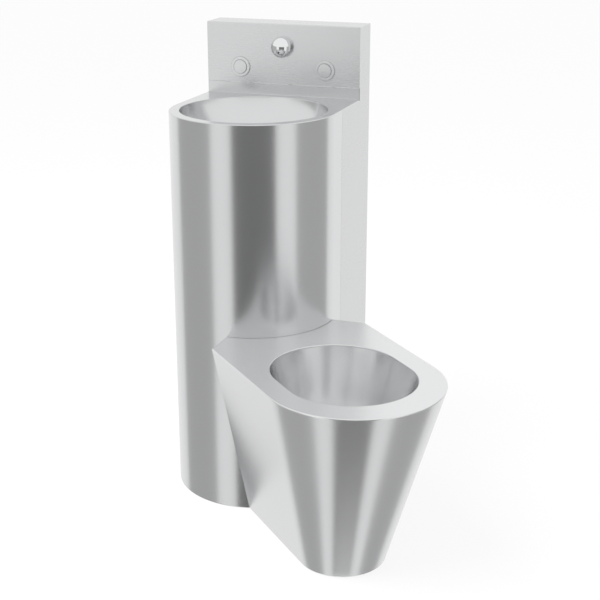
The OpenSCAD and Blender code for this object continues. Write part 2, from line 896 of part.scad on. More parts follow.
// Isolating valves
module isolator(x) {
    color(brass) translate([x, pipe_y, manifold_top]) difference() {
        union() {
            cylinder(h = isolator_l, r = isolator_r, $fn = medium);
            for (z = [0, isolator_l - isolator_hex_l]) translate([0, 0, z])
                cylinder(h = isolator_hex_l, d = isolator_hex_across / cos(hex_half), $fn = 6);
            translate([0, 0, isolator_l / 2]) sphere(isolator_body_r, $fn = fine);
            translate([0, 0, isolator_l / 2]) rotate([90, 0, 0])
                cylinder(h = boss_reach, r = boss_r, $fn = medium);
        }
        translate([0, 0, -cut]) cylinder(h = isolator_l + 2 * cut, r = ball_bore_r, $fn = medium);
        translate([0, 0, isolator_l / 2]) sphere(ball_r + move_gap, $fn = fine);
        translate([0, 0, isolator_l / 2]) rotate([90, 0, 0])
            cylinder(h = boss_reach + cut, r = stem_r + stem_gap, $fn = medium);
    }
}

module isolator_ball(x) {
    color(bright) translate([x, pipe_y, isolator_mid]) {
        difference() {
            sphere(ball_r, $fn = fine);
            translate([0, 0, -2 * ball_r]) cylinder(h = 4 * ball_r, r = ball_bore_r, $fn = medium);
        }
        translate([0, -(ball_r + ball_bore_r) / 2, 0]) rotate([90, 0, 0])
            cylinder(h = stem_end - (ball_r + ball_bore_r) / 2, r = stem_r, $fn = medium);
    }
}

module isolator_lever(x) {
    face = pipe_y - boss_reach - move_gap;
    color("firebrick") translate([x, face, isolator_mid]) rotate([90, 0, 0]) {
        difference() {
            linear_extrude(lever_t) {
                circle(lever_hub_r, $fn = medium);
                translate([-lever_w / 2, lever_w / 2 - lever_l]) square([lever_w, lever_l - lever_w / 2]);
                translate([0, lever_w / 2 - lever_l]) circle(d = lever_w, $fn = medium);
            }
            translate([0, 0, -cut]) cylinder(h = lever_t + 2 * cut, r = stem_r + nest_gap, $fn = medium);
        }
        translate([0, 0, lever_t]) hex_nut(lever_nut_across, lever_nut_t, stem_r + nest_gap);
    }
}

// Air operated valves, each a chamber over a raised seat, with a socket for its pipe to the front
module valve_body(x, r, h, tube_r, tube_wall) {
    inner = r - valve_wall;
    seat_bore = inner * seat_tube_share - seat_tube_wall;
    color(brass) translate([x, pipe_y, valve_low]) difference() {
        union() {
            cylinder(h = neck_h, r = neck_r, $fn = medium);
            translate([0, 0, neck_h]) cylinder(h = h - neck_h, r = r, $fn = fine);
            translate([0, 0, outlet_at]) rotate([90, 0, 0])
                cylinder(h = r + outlet_l, r = tube_r + nest_gap + outlet_wall, $fn = medium);
        }
        difference() {
            translate([0, 0, neck_h + valve_wall]) cylinder(h = h, r = inner, $fn = fine);
            translate([0, 0, neck_h])
                cylinder(h = seat_top(h) - neck_h, r = seat_bore + seat_tube_wall, $fn = fine);
        }
        translate([0, 0, -cut]) cylinder(h = h, r = min(seat_bore, ball_bore_r), $fn = medium);
        translate([0, -inner + valve_wall, outlet_at]) rotate([90, 0, 0])
            cylinder(h = r + outlet_l, r = tube_r - tube_wall, $fn = medium);
        translate([0, -r - outlet_wall, outlet_at]) rotate([90, 0, 0])
            cylinder(h = outlet_l, r = tube_r + nest_gap, $fn = medium);
    }
}

// Height of a valve's seat above the valve's foot
function seat_top(h) = h - piston_t - piston_travel - piston_room;

module valve_cover(x, r, h) {
    color(brass) translate([x, pipe_y, valve_low + h]) {
        difference() {
            union() {
                cylinder(h = cover_t, r = r + cover_lip, $fn = fine);
                translate([0, 0, cover_t]) cylinder(h = barb_l, r = barb_r, $fn = medium);
            }
            translate([0, 0, -cut])
                cylinder(h = spring_seat_depth + cut, r = r * spring_room_share, $fn = medium);
            cylinder(h = cover_t + barb_l + cut, r = barb_r / 2, $fn = medium);
        }
        for (i = [0:5]) rotate(i * 60 + 30) translate([r - cover_screw_in, 0, cover_t])
            cylinder(h = valve_screw_t, r = cover_screw_r, $fn = medium);
    }
}

module valve_piston(x, r, h) {
    inner = r - valve_wall;
    color(plastic) translate([x, pipe_y, valve_low + seat_top(h) + move_gap])
        cylinder(h = piston_t, r = inner - stem_gap, $fn = fine);
}

module valve_spring(x, r, h) {
    low = valve_low + seat_top(h) + move_gap + piston_t;
    high = valve_low + h + spring_seat_depth;
    mid_r = r * spring_room_share - valve_spring_wire;
    color(bright) translate([x, pipe_y, low]) coil(mid_r, valve_spring_wire, high - low, spring_turns);
}

// A spring as one closed sweep: mean radius, wire diameter, length and turns
module coil(mid_r, wire, long, turns) {
    sides = 6;
    rings = spring_steps * turns;
    rise = long - wire;
    path = [for (i = [0:rings]) let (a = 360 * turns * i / rings)
        [mid_r * cos(a), mid_r * sin(a), wire / 2 + rise * i / rings]];
    points = [for (i = [0:rings], k = [0:sides - 1])
        let (a = 360 * turns * i / rings, b = 360 * k / sides)
        path[i] + wire / 2 * [cos(a) * cos(b), sin(a) * cos(b), sin(b)]];
    ends = [[for (k = [0:sides - 1]) k], [for (k = [sides - 1:-1:0]) rings * sides + k]];
    skin = [for (i = [0:rings - 1], k = [0:sides - 1])
        let (n = (k + 1) % sides, a = i * sides + k, b = i * sides + n)
        each [[a, a + sides, b + sides], [a, b + sides, b]]];
    polyhedron(points, concat(ends, skin));
}

// Flush pipe
flush_out = pipe_y - flush_valve_r - outlet_wall;
flush_top = valve_low + outlet_at;
flush_join = (flush_top + flush_h) / 2;
flush_down = valve_x / sin(pan_angle);
flush_drop_y = -column_reach + flush_down * cos(pan_angle);
flush_upper_route = [[-valve_x, flush_out, flush_top], [-valve_x, flush_drop_y, flush_top],
    [-valve_x, flush_drop_y, flush_join + seam_gap]];
flush_lower_route = [[-flush_down, 0, flush_join], [-flush_down, 0, flush_h], [flush_turn, 0, flush_h],
    [flush_turn, 0, inlet_h], [inlet_reach, 0, inlet_h]];

module flush_pipe_upper() {
    color(bright) tube_run(flush_upper_route, flush_r, flush_wall, flush_bend);
}

module flush_pipe_lower() {
    color(bright) on_pan() tube_run(flush_lower_route, flush_r, flush_wall, flush_bend);
}

module flush_union() {
    color(brass) translate([-valve_x, flush_drop_y, flush_join - union_l / 2]) difference() {
        union() {
            cylinder(h = union_l, r = flush_r + nest_gap + 2 * outlet_wall, $fn = fine);
            translate([0, 0, union_l / 4])
                cylinder(h = union_l / 2, d = 2 * (flush_r + 3 * outlet_wall) / cos(octagon_half), $fn = 8);
        }
        translate([0, 0, -cut]) cylinder(h = union_l + 2 * cut, r = flush_r + nest_gap, $fn = fine);
    }
}

// Supply to the spout
spout_back = splash_face + shank_l;
supply_top = valve_low + outlet_at;
supply_out = pipe_y - basin_valve_r - outlet_wall;
supply_front = supply_out - outlet_l - supply_bend;
supply_turn_h = supply_top + supply_rise;
supply_route = [[valve_x, supply_out, supply_top], [valve_x, supply_front, supply_top],
    [valve_x, supply_front, supply_turn_h], [0, supply_front, supply_turn_h],
    [0, riser_y, supply_turn_h], [0, riser_y, spout_z], [0, spout_back - supply_grip, spout_z]];

module supply_tube() {
    color("peru") tube_run(supply_route, supply_d / 2, supply_wall, supply_bend);
}

// Spout, measured from the splashback's face
module at_nozzle() { translate([0, 0, dome_rise]) rotate([nozzle_angle, 0, 0]) children(); }

module spout() {
    color(bright) facing_out(0, splash_face, spout_z) difference() {
        union() {
            intersection() {
                translate([0, 0, dome_rise]) sphere(dome_r, $fn = 2 * fine);
                cylinder(h = 2 * dome_r, r = 2 * dome_r, $fn = medium);
            }
            translate([0, 0, -shank_l]) cylinder(h = shank_l + dome_rise, r = shank_r, $fn = medium);
        }
        translate([0, 0, -shank_l - cut]) {
            cylinder(h = shank_l + dome_rise + 2 * cut, r = shank_bore_r, $fn = medium);
            cylinder(h = supply_grip + cut, r = supply_d / 2 + nest_gap, $fn = medium);
        }
        at_nozzle() cylinder(h = dome_r + cut, r = nozzle_bore_r, $fn = medium);
        at_nozzle() translate([0, 0, dome_r - nozzle_l])
            cylinder(h = nozzle_l + cut, r = nozzle_r + nest_gap, $fn = medium);
    }
}

module spout_nozzle() {
    color(bright) facing_out(0, splash_face, spout_z) at_nozzle() translate([0, 0, dome_r - nozzle_l])
        ring(nozzle_l, nozzle_r, nozzle_bore_r);
}

// Buttons, measured from the splashback's face
module button_collar(x) {
    color(steel) facing_out(x, splash_face, button_z) difference() {
        union() {
            rotate_extrude($fn = fine) polygon([[0, 0], [collar_r, 0], [collar_r, sheet_t / 2],
                [collar_top_r, collar_proud], [0, collar_proud]]);
            translate([0, 0, web_back]) cylinder(h = shank_depth + cut, r = collar_shank_r, $fn = fine);
        }
        translate([0, 0, web_back + web_t])
            cylinder(h = shank_depth + collar_proud, r = cap_r + move_gap, $fn = fine);
        translate([0, 0, web_back - cut])
            cylinder(h = web_t + 2 * cut, r = plunger_stem_r + stem_gap, $fn = medium);
    }
}

module button_cap(x) {
    color(steel) facing_out(x, splash_face, button_z) difference() {
        translate([0, 0, cap_proud - cap_l]) cylinder(h = cap_l, r = cap_r, $fn = fine);
        translate([0, 0, cap_proud - cap_l - cut])
            cylinder(h = cap_l - cap_wall + cut, r = cap_r - cap_wall, $fn = fine);
    }
}

module button_plunger(x) {
    top = cap_proud - cap_wall;
    low = web_back - plunger_gap;
    color(plastic) facing_out(x, splash_face, button_z) {
        translate([0, 0, low]) cylinder(h = top - low, r = plunger_stem_r, $fn = medium);
        translate([0, 0, low - plunger_t]) cylinder(h = plunger_t, r = plunger_r, $fn = fine);
    }
}

module button_spring(x) {
    low = web_back + web_t;
    color(bright) facing_out(x, splash_face, button_z) translate([0, 0, low])
        coil(spring_r, spring_wire, cap_proud - cap_wall - low, spring_turns);
}

module air_cylinder(x) {
    grip_r = collar_shank_r + nest_gap + cylinder_wall;
    color(plastic) facing_out(x, splash_face, button_z) difference() {
        union() {
            translate([0, 0, cylinder_back])
                cylinder(h = web_back - cylinder_back + cylinder_grip, r = grip_r, $fn = fine);
            translate([0, 0, cylinder_back - barb_l / 2]) cylinder(h = barb_l, r = barb_r, $fn = medium);
        }
        translate([0, 0, web_back])
            cylinder(h = cylinder_grip + cut, r = collar_shank_r + nest_gap, $fn = fine);
        translate([0, 0, cylinder_back + cylinder_wall])
            cylinder(h = cylinder_depth + cut, r = plunger_r + move_gap, $fn = fine);
        translate([0, 0, cylinder_back - barb_l]) cylinder(h = 2 * barb_l, r = barb_r / 2, $fn = medium);
    }
}

// Nuts behind the splashback, on the collars and on the spout
module panel_nuts() {
    inner = collar_shank_r + nest_gap;
    back = splash_face + sheet_t + panel_gasket_t;
    color(brass) {
        for (x = [-button_x, button_x]) facing_out(x, back + collar_nut_t, button_z)
            ring(collar_nut_t, inner + collar_nut_w, inner);
        facing_out(0, back + spout_nut_t, spout_z)
            hex_nut(spout_nut_across, spout_nut_t, shank_r + nest_gap);
    }
}

// Rubber rings behind the splashback's nuts, round the flush pipe's end and under the basin's waste
module rubber_seals() {
    inner = collar_shank_r + nest_gap;
    back = splash_face + sheet_t + panel_gasket_t;
    color(rubber) {
        for (x = [-button_x, button_x])
            facing_out(x, back, button_z) ring(panel_gasket_t, inner + collar_nut_w - nest_gap, inner);
        facing_out(0, back, spout_z) ring(panel_gasket_t, spout_nut_across / 2, shank_r + nest_gap);
        on_pan() at_inlet() ring(seal_l, flush_r + seal_t - nest_gap, flush_r + nest_gap);
        on_column() translate([0, 0, waste_seat_under - gasket_t])
            ring(gasket_t, gasket_r, waste_thread_r + nest_gap);
    }
}

// Air tubes from the buttons to the valves
module air_tube(x, valve_h) {
    start = splash_face - cylinder_back;
    end = valve_low + valve_h + cover_t;
    color("deepskyblue") tube_run([[x, start, button_z], [x, air_run_y, button_z],
        [x, air_run_y, end + 2 * air_bend], [x, pipe_y, end + 2 * air_bend], [x, pipe_y, end]],
        air_d / 2, air_d / 2 - barb_r - nest_gap, air_bend);
}

module air_tubes() {
    air_tube(-valve_x, flush_valve_h);
    air_tube(valve_x, basin_valve_h);
}

rear_housing();
splashback();
column_shell();
basin_deck();
basin_bowl();
pan_deck();
pan_skirt();
pan_bowl();
pan_stiffeners();
valve_rail();
wall_nuts();
earth_stud();
waste_strainer();
waste_screw();
waste_body();
waste_nut();
basin_trap();
trap_nuts();
pan_outlet();
pan_trap();
soil_elbow();
soil_pipe();
soil_coupling();
coupling_clamps();
soil_bracket();
inlet_manifold();
pipe_clips();
isolator(-valve_x);  // isolator_left
isolator(valve_x);  // isolator_right
isolator_ball(-valve_x);  // isolator_ball_left
isolator_ball(valve_x);  // isolator_ball_right
isolator_lever(-valve_x);  // isolator_lever_left
isolator_lever(valve_x);  // isolator_lever_right
valve_body(-valve_x, flush_valve_r, flush_valve_h, flush_r, flush_wall);  // flush_valve_body
valve_cover(-valve_x, flush_valve_r, flush_valve_h);  // flush_valve_cover
valve_piston(-valve_x, flush_valve_r, flush_valve_h);  // flush_piston
valve_spring(-valve_x, flush_valve_r, flush_valve_h);  // flush_spring
flush_pipe_upper();
flush_pipe_lower();
flush_union();
valve_body(valve_x, basin_valve_r, basin_valve_h, supply_d / 2, supply_wall);  // basin_valve_body
valve_cover(valve_x, basin_valve_r, basin_valve_h);  // basin_valve_cover
valve_piston(valve_x, basin_valve_r, basin_valve_h);  // basin_piston
valve_spring(valve_x, basin_valve_r, basin_valve_h);  // basin_valve_spring
supply_tube();
spout();
spout_nozzle();
panel_nuts();
button_collar(-button_x);  // collar_left
button_collar(button_x);  // collar_right
button_cap(-button_x);  // cap_left
button_cap(button_x);  // cap_right
button_spring(-button_x);  // button_spring_left
button_spring(button_x);  // button_spring_right
button_plunger(-button_x);  // plunger_left
button_plunger(button_x);  // plunger_right
air_cylinder(-button_x);  // air_cylinder_left
air_cylinder(button_x);  // air_cylinder_right
rubber_seals();
air_tubes();
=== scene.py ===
import json
import math

import bmesh
import bpy
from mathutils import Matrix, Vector


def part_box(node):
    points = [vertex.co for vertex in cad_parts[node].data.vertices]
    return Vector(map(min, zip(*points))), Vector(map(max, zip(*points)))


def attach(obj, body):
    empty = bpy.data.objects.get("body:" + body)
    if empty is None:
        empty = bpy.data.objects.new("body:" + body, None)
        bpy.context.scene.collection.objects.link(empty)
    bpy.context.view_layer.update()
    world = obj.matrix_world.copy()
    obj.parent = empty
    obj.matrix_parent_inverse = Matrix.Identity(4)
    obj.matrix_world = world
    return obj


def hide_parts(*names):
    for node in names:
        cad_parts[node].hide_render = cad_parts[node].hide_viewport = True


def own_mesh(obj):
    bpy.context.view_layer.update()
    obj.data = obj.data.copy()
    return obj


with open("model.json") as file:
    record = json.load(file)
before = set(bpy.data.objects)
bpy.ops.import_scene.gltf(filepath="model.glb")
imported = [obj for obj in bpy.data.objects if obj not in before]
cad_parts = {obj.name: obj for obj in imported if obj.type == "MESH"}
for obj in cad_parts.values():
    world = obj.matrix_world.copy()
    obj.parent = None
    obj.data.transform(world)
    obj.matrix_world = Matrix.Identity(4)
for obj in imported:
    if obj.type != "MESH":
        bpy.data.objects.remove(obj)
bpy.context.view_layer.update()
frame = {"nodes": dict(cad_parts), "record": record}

scene = bpy.context.scene
scene.view_settings.view_transform = "Standard"

# Camera.
# The photographer stood to the right of the unit, at about chest height, and
# used a long lens from nearly three metres away.
camera_turn = math.radians(19.11)
camera_tilt = math.radians(18.79)
camera_data = bpy.data.cameras.new("camera")
camera_data.sensor_width = 36
camera_data.lens = 75.68
camera_data.clip_end = 60
camera = bpy.data.objects.new("camera", camera_data)
camera.location = (0.9645, -2.7423, 1.3301)
camera.rotation_euler = (math.pi / 2 - camera_tilt, 0, camera_turn)
scene.collection.objects.link(camera)
scene.camera = camera

# Column.
# The round body below the basin: one stainless sheet, rolled to a U and
# brushed, with a flange turned in at the floor and a window behind the pan.
column_r = 0.180
column_y = -0.258
column_back = -0.205
column_top = 0.850
sheet = 0.002
window = (0.135, 0.335)
window_half = 0.062
window_turn = math.degrees(math.asin(window_half / column_r))
pan_side_turn = 315
arc_step = 1.5
edge_nudge = 0.1


def brushed_grain():
    """Fine scratches left by the grinding belt, with broad faint smudges."""
    group = bpy.data.node_groups.new("brushed grain", "ShaderNodeTree")
    port = group.interface.new_socket
    port(name="Across", in_out="INPUT", socket_type="NodeSocketVector")
    port(name="Roughness", in_out="INPUT", socket_type="NodeSocketFloat")
    port(name="Depth", in_out="INPUT", socket_type="NodeSocketFloat")
    port(name="Tone", in_out="INPUT", socket_type="NodeSocketColor")
    port(name="Color", in_out="OUTPUT", socket_type="NodeSocketColor")
    port(name="Roughness", in_out="OUTPUT", socket_type="NodeSocketFloat")
    port(name="Height", in_out="OUTPUT", socket_type="NodeSocketFloat")
    nodes, links = group.nodes, group.links
    inside = nodes.new("NodeGroupInput")
    outside = nodes.new("NodeGroupOutput")
    place = nodes.new("ShaderNodeTexCoord")
    stretch = nodes.new("ShaderNodeVectorMath")
    stretch.operation = "MULTIPLY"
    links.new(place.outputs["Object"], stretch.inputs[0])
    links.new(inside.outputs["Across"], stretch.inputs[1])
    scratch = nodes.new("ShaderNodeTexNoise")
    scratch.inputs["Scale"].default_value = 1
    scratch.inputs["Detail"].default_value = 3
    scratch.inputs["Roughness"].default_value = 0.65
    links.new(stretch.outputs[0], scratch.inputs["Vector"])
    smudge = nodes.new("ShaderNodeTexNoise")
    smudge.inputs["Scale"].default_value = 7
    smudge.inputs["Detail"].default_value = 2
    links.new(place.outputs["Object"], smudge.inputs["Vector"])

    def sum_of(a, b, factor):
        node = nodes.new("ShaderNodeMath")
        node.operation = "MULTIPLY_ADD"
        links.new(a, node.inputs[0])
        node.inputs[1].default_value = factor
        links.new(b, node.inputs[2])
        return node.outputs[0]

    def centred(a):
        node = nodes.new("ShaderNodeMath")
        node.operation = "SUBTRACT"
        links.new(a, node.inputs[0])
        node.inputs[1].default_value = 0.5
        return node.outputs[0]

    fine = centred(scratch.outputs["Fac"])
    broad = centred(smudge.outputs["Fac"])
    scratch_rough, smudge_rough, scratch_tone = 0.03, 0.04, 0.007
    rough = sum_of(fine, inside.outputs["Roughness"], scratch_rough)
    rough = sum_of(broad, rough, smudge_rough)
    links.new(rough, outside.inputs["Roughness"])
    height = nodes.new("ShaderNodeMath")
    height.operation = "MULTIPLY"
    links.new(fine, height.inputs[0])
    links.new(inside.outputs["Depth"], height.inputs[1])
    links.new(height.outputs[0], outside.inputs["Height"])
    level = nodes.new("ShaderNodeMath")
    level.operation = "MULTIPLY_ADD"
    links.new(fine, level.inputs[0])
    level.inputs[1].default_value = scratch_tone
    level.inputs[2].default_value = 1.0
    tint = nodes.new("ShaderNodeVectorMath")
    tint.operation = "SCALE"
    links.new(inside.outputs["Tone"], tint.inputs[0])
    links.new(level.outputs[0], tint.inputs["Scale"])
    links.new(tint.outputs[0], outside.inputs["Color"])
    return group


grain = brushed_grain()


def grained(name, tone, roughness, across, depth):
    """A finish with the grain in its colour, its roughness and its bump. across is how fine the
    grain is along X, Y and Z."""
    skin = bpy.data.materials.new(name)
    skin.use_nodes = True
    nodes, links = skin.node_tree.nodes, skin.node_tree.links
    shader = nodes["Principled BSDF"]
    scratches = nodes.new("ShaderNodeGroup")
    scratches.node_tree = grain
    scratches.inputs["Across"].default_value = across
    scratches.inputs["Roughness"].default_value = roughness
    scratches.inputs["Depth"].default_value = 1
    scratches.inputs["Tone"].default_value = (*tone, 1)
    links.new(scratches.outputs["Color"], shader.inputs["Base Color"])
    links.new(scratches.outputs["Roughness"], shader.inputs["Roughness"])
    bump = nodes.new("ShaderNodeBump")
    bump.inputs["Distance"].default_value = depth
    links.new(scratches.outputs["Height"], bump.inputs["Height"])
    links.new(bump.outputs["Normal"], shader.inputs["Normal"])
    return skin


def metal(name, tone, roughness, across, depth=0.0000015, stretch=0.0, along=None, bare=1.0):
    """A grained metal. stretch draws its gloss out across the grain, and bare is its metallic share."""
    skin = grained(name, tone, roughness, across, depth)
    nodes, links = skin.node_tree.nodes, skin.node_tree.links
    shader = nodes["Principled BSDF"]
    shader.inputs["Metallic"].default_value = bare
    shader.inputs["Anisotropic"].default_value = stretch
    if along:
        direction = nodes.new("ShaderNodeCombineXYZ")
        for socket, value in zip(direction.inputs, along):
            socket.default_value = value
        links.new(direction.outputs[0], shader.inputs["Tangent"])
    return skin


steel = (0.66, 0.665, 0.67)
wall_steel = metal("brushed steel, level grain", steel, 0.24, (9, 9, 1500), stretch=0.35, along=(0, 0, 1))


def piece(name, bm, skin, node, body="unit", thick=0.0, sharp=33):
    """One made piece: thickened if it is sheet, shaded smooth up to its sharp edges."""
    mesh = bpy.data.meshes.new(name)
    bm.to_mesh(mesh)
    bm.free()
    thing = bpy.data.objects.new(name, mesh)
    scene.collection.objects.link(thing)
    if thick:
        wall = thing.modifiers.new("wall", "SOLIDIFY")
        wall.thickness = thick
        wall.offset = -1
        wall.use_even_offset = True
        seen = thing.evaluated_get(bpy.context.evaluated_depsgraph_get())
        mesh = bpy.data.meshes.new_from_object(seen)
        thing.modifiers.clear()
        thing.data = mesh
    mesh.name = name
    mesh.polygons.foreach_set("use_smooth", [True] * len(mesh.polygons))
    mesh.set_sharp_from_angle(angle=math.radians(sharp))
    even = thing.modifiers.new("even shading", "WEIGHTED_NORMAL")
    even.keep_sharp = True
    mesh.materials.clear()
    mesh.materials.append(skin)
    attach(thing, body)
    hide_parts(*node)
    return thing


def rows_to_faces(bm, rows, closed=False, skip=None):
    """Joins rows of points into a skin; each row runs to the right seen from outside, and rows go up."""
    grid = [[bm.verts.new(p) for p in row] for row in rows]
    across = len(rows[0]) if closed else len(rows[0]) - 1
    for j in range(len(rows) - 1):
        for i in range(across):
            if skip and skip(i, j):
                continue
            k = (i + 1) % len(rows[0])
            bm.faces.new((grid[j][i], grid[j][k], grid[j + 1][k], grid[j + 1][i]))
    return grid


arc_turns = sorted({180 + arc_step * i for i in range(round(180 / arc_step) + 1)}
                   | {pan_side_turn - window_turn, pan_side_turn + window_turn})


def column_row(inset, z):
    """The U of the column's plan at one height, from its left rear edge round to its right rear edge."""
    arc = [((column_r - inset) * math.cos(math.radians(a)),
            column_y + (column_r - inset) * math.sin(math.radians(a)), z) for a in arc_turns]
    return [(inset - column_r, column_back, z)] + arc + [(column_r - inset, column_back, z)]


foot = [(0.016, 0.0), (0.003, 0.0), (0.0015, 0.0004), (0.0004, 0.0015), (0, 0.003)]
column_rows = [column_row(*f) for f in foot] + [column_row(0, z) for z in (*window, column_top)]
window_row = len(foot)


def in_window(i, j):
    """True for a face in the window behind the pan. The nudge keeps rounding at its edges out of it."""
    inside_arc = j == window_row and 1 <= i < len(arc_turns)
    return inside_arc and abs(arc_turns[i - 1] + edge_nudge - pan_side_turn) < window_turn


bm = bmesh.new()
rows_to_faces(bm, column_rows, skip=in_window)
piece("column_wall", bm, wall_steel, ["column_shell"], thick=sheet)

# Deck and basin.
# The deck is a flat plate with its edge dressed over the column and an upstand
# turned up at the back. The basin is a round pressing welded under its opening.
deck_z = 0.852
deck_edge_z, deck_lip_z = 0.850, 0.8499
bowl_r = 0.1575
edge_r = 0.0018
lip_r = 0.0016
back_y = -0.078
upstand_top = 0.877
dish_r = 0.16041
dish_z = 0.88041
waste_r = 0.036
waste_z = 0.717

top_steel = metal("brushed steel, deck", steel, 0.25, (1300, 9, 9))
bowl_steel = metal("brushed steel, basin", (0.68, 0.685, 0.69), 0.2, (60, 60, 900), depth=0.000001)


def round_over(radius, steps=4):
    """Points of a quarter turn: how far in, how far below the top."""
    return [(radius * (1 - math.sin(a)), radius * (1 - math.cos(a)))
            for a in (math.pi / 2 * k / steps for k in range(steps + 1))]


ring_steps = 192
turns = [360 / ring_steps * i for i in range(ring_steps)]


def deck_row(inset, z):
    """The deck's outline at one height, round at the front and square at the rear."""
    row = []
    for turn in turns:
        x, y = math.cos(math.radians(turn)), math.sin(math.radians(turn))
        if y < 0:
            reach = column_r - inset
        elif abs(x) >= y:
            reach = (column_r - inset) / abs(x)
        else:
            reach = (back_y - column_y) / y
        row.append((reach * x, min(column_y + reach * y, back_y), z))
    return row


def ring_row(r, z, centre=(0, column_y)):
    """A round row about the basin's centre."""
    return [(centre[0] + r * math.cos(math.radians(a)), centre[1] + r * math.sin(math.radians(a)), z)
            for a in turns]


bm = bmesh.new()
deck_rows = [deck_row(0, deck_edge_z)] + [deck_row(i, deck_z - d) for i, d in reversed(round_over(edge_r))]
deck_rows += [ring_row(bowl_r + i, deck_z - d) for i, d in round_over(lip_r)]
deck_rows += [ring_row(bowl_r, deck_lip_z)]
rows_to_faces(bm, deck_rows, closed=True)
cove = 0.0008
cove_steps = 8
cove_lift = 0.00002
fold = [(back_y - cove * (1 - math.sin(a)), deck_z + cove * (1 - math.cos(a)))
        for a in (math.pi / 2 * k / cove_steps for k in range(cove_steps + 1))]
fold = [(back_y - 2 * cove, deck_z + cove_lift)] + fold + [(back_y, upstand_top)]
fold += [(back_y + sheet, upstand_top), (back_y + sheet, deck_z - sheet)]
rows_to_faces(bm, [[(-column_r, y, z), (column_r, y, z)] for y, z in fold])
piece("basin_deck_plate", bm, top_steel, ["basin_deck"])

bm = bmesh.new()
dish_steps = 44
start = math.asin(bowl_r / dish_r)
end = math.asin(waste_r / dish_r)
dish = [(dish_r * math.sin(a), dish_z - dish_r * math.cos(a))
        for a in (start + (end - start) * k / dish_steps for k in range(dish_steps + 1))]
waste_hole_r = 0.0212
seat = [(waste_r, waste_z + 0.0015), (waste_r - 0.0012, waste_z + 0.0003), (waste_r - 0.003, waste_z),
        (waste_hole_r, waste_z)]
rows_to_faces(bm, [ring_row(r, z) for r, z in dish + seat], closed=True)
piece("basin_pressing", bm, bowl_steel, ["basin_bowl"], thick=sheet)

# Splashback and housing.
# A folded sheet closes the front and top of the flat box at the wall. The two
# side panels and the wall flange behind it are one folded frame.
splash_low = 0.8774
splash_middle = 0.93
unit_top = 1.010
fold_r = 0.0025

face_steel = metal("brushed steel, splashback", steel, 0.27, (9, 9, 1300),
                   depth=0.0000001, stretch=0.3, along=(0, 0, 1))
# The side panels take the splashback's steel, only darker: painted shade for sides that mirror less light.
shaded_side_steel = metal("brushed steel, sides, painted shade", (0.62, 0.625, 0.63), 0.27, (9, 9, 1300),
                   depth=0.0000001, stretch=0.3, along=(0, 0, 1))

bm = bmesh.new()
bend = [(back_y + i, unit_top - d) for i, d in round_over(fold_r, 5)]
section = [(back_y, splash_low), (back_y, splash_middle)] + bend[::-1] + [(0, unit_top)]
rows_to_faces(bm, [[(-column_r, y, z), (column_r, y, z)] for y, z in section])
piece("splashback_sheet", bm, face_steel, ["splashback"], thick=sheet)

# Push buttons.
# Each button is a polished cap that slides in a fixed collar. The collar's
# threaded shank passes through the splashback and takes a nut behind it.
button_x = 0.100
button_z = 0.912
button_steel = metal("polished steel, buttons", (0.68, 0.685, 0.69), 0.24, (300, 300, 300), depth=0.000001)


def lathe(bm, section, centre, steps=128):
    """Turns a section of (radius, distance out of the wall) about an axis square to the wall."""
    rows = [[(centre[0] + r * math.sin(a), back_y - out, centre[1] + r * math.cos(a))
             for a in (2 * math.pi * k / steps for k in range(steps))] for r, out in section]
    rows_to_faces(bm, rows, closed=True)
    bmesh.ops.remove_doubles(bm, verts=bm.verts, dist=1e-7)


collar = [(0.0158, -0.022), (0.0158, 0.0027), (0.0160, 0.0033), (0.0165, 0.0035), (0.0214, 0.0035),
          (0.0219, 0.0034), (0.0222, 0.0030), (0.0228, 0.0012), (0.0230, 0.0008), (0.0230, 0.0),
          (0.0183, 0.0), (0.0183, -0.026), (0.0041, -0.026), (0.0041, -0.022), (0.0158, -0.022)]
cap = [(0.0, 0.0050), (0.0145, 0.0050), (0.0150, 0.0049), (0.0153, 0.0046), (0.0155, 0.0041),
       (0.0155, -0.0100), (0.0135, -0.0100), (0.0135, 0.0030), (0.0, 0.0030)]
for side, x in (("left", -button_x), ("right", button_x)):
    bm = bmesh.new()
    lathe(bm, collar, (x, button_z))
    bmesh.ops.recalc_face_normals(bm, faces=bm.faces)
    piece(f"button_collar_{side}", bm, button_steel, [f"collar_{side}"])
    bm = bmesh.new()
    lathe(bm, cap, (x, button_z))
    bmesh.ops.recalc_face_normals(bm, faces=bm.faces)
    piece(f"button_cap_{side}", bm, button_steel, [f"cap_{side}"], body=f"{side}_button")

# Spout.
# A chromed brass dome with a small nozzle pressed into its lower front, which
# aims the jet down into the basin. Its shank passes through the splashback.
spout_z = 0.960
dome_r = 0.0235
dome_rise = 0.005
dome_steps, dome_sides, shank_sides = 72, 128, 64
nozzle_turn = math.radians(25)
nozzle_r = 0.0038
nozzle_l = 0.008
shank_r, shank_l = 0.0104, 0.033
bore_r, bore_l = 0.0052, 0.023
jet_r = 0.004
chrome = metal("chrome plate", (0.8, 0.805, 0.81), 0.05, (400, 400, 400), depth=0.000002)

